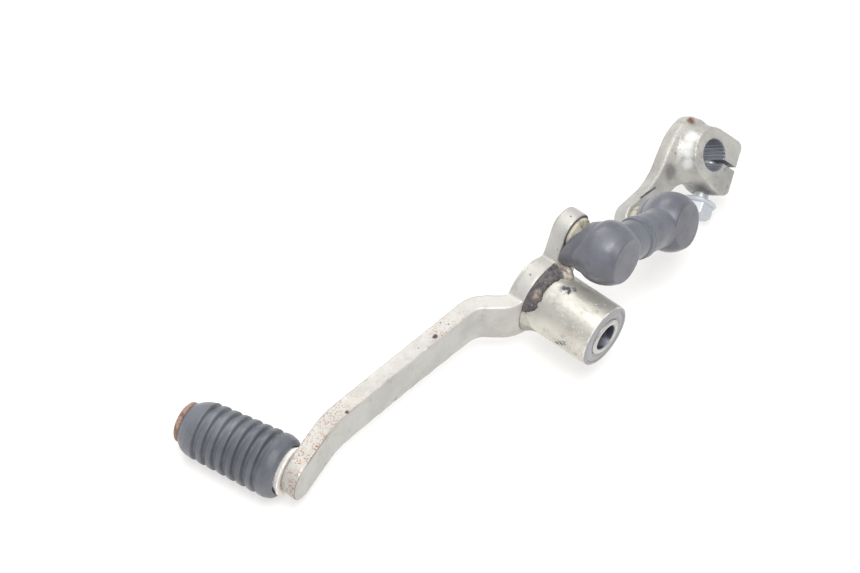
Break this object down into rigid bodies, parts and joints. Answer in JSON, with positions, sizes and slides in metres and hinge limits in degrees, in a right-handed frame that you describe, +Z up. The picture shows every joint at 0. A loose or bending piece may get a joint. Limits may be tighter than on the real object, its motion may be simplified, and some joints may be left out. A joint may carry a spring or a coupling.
{
  "type": "gear shift lever",
  "caption": "Motorcycle foot gear shift lever: bent flat steel pedal on a pivot sleeve with a ribbed rubber peg, booted ball-joint link and splined clamp arm.",
  "frame": {"origin": "pivot axis at the open end face of the boss", "axes": "+X along the pivot axis out of the open end of the boss, +Y forwards from the foot peg to the clamp arm, +Z up as the lever lies on a bench"},
  "size_m": [0.0806, 0.2232, 0.0504],
  "materials": {
    "painted_steel": "silver paint over steel, worn and speckled with rust",
    "forged_steel": "silver painted forging, chipped to dark metal in places",
    "zinc_steel": "zinc plated steel, dulled",
    "rusty_steel": "bare steel with brown rust",
    "peg_rubber": "moulded black rubber with a soft sheen",
    "boot_rubber": "soft black rubber with a soft bluish sheen",
    "seal_rubber": "grey-black lip seal rubber",
    "nylon": "moulded bearing plastic"
  },
  "bodies": {
    "pivot": {"pivot_sleeve": "zinc_steel"},
    "pedal": {"pedal_bar": "painted_steel", "pivot_boss": "painted_steel", "boss_weld": "rusty_steel", "front_bush": "nylon", "rear_bush": "nylon", "outer_dust_seal": "seal_rubber", "inner_dust_seal": "seal_rubber", "peg_pin": "painted_steel", "peg_collar": "zinc_steel", "peg_end_washer": "rusty_steel", "peg_weld": "painted_steel", "peg_rubber": "peg_rubber", "front_ball_stud": "zinc_steel"},
    "front_seat": {"front_ball_seat": "nylon"},
    "link": {"front_socket": "forged_steel", "front_socket_plug": "forged_steel", "front_lock_nut": "zinc_steel", "front_boot": "boot_rubber", "link_rod": "zinc_steel", "rear_boot": "boot_rubber", "rear_lock_nut": "zinc_steel", "rear_socket": "forged_steel", "rear_socket_plug": "forged_steel"},
    "rear_seat": {"rear_ball_seat": "nylon"},
    "shift_arm": {"rear_ball_stud": "zinc_steel", "shift_arm": "forged_steel", "pinch_bolt": "zinc_steel"}
  },
  "joints": [
    {"name": "pedal_pivot", "type": "hinge", "parent": "pivot", "child": "pedal", "pos_m": [0, 0, 0], "axis": [1, 0, 0], "range_deg": [-20, 20]},
    {"name": "front_ball_swing", "type": "hinge", "parent": "pedal", "child": "front_seat", "pos_m": [-0.0132, 0.01362, 0.01979], "axis": [1, 0, 0], "range_deg": [-25, 25]},
    {"name": "front_ball_tilt", "type": "hinge", "parent": "front_seat", "child": "link", "pos_m": [-0.0132, 0.01362, 0.01979], "axis": [0, 0.3517, 0.9361], "range_deg": [-5, 5]},
    {"name": "rear_ball_tilt", "type": "hinge", "parent": "link", "child": "rear_seat", "pos_m": [-0.0132, 0.05153, 0.00554], "axis": [-0.535, 0.2971, 0.7909], "range_deg": [-5, 5]},
    {"name": "rear_ball_swing", "type": "hinge", "parent": "rear_seat", "child": "shift_arm", "pos_m": [-0.0132, 0.05153, 0.00554], "axis": [0.8286, 0.0018, 0.5598], "range_deg": [-20, 20]}
  ]
}
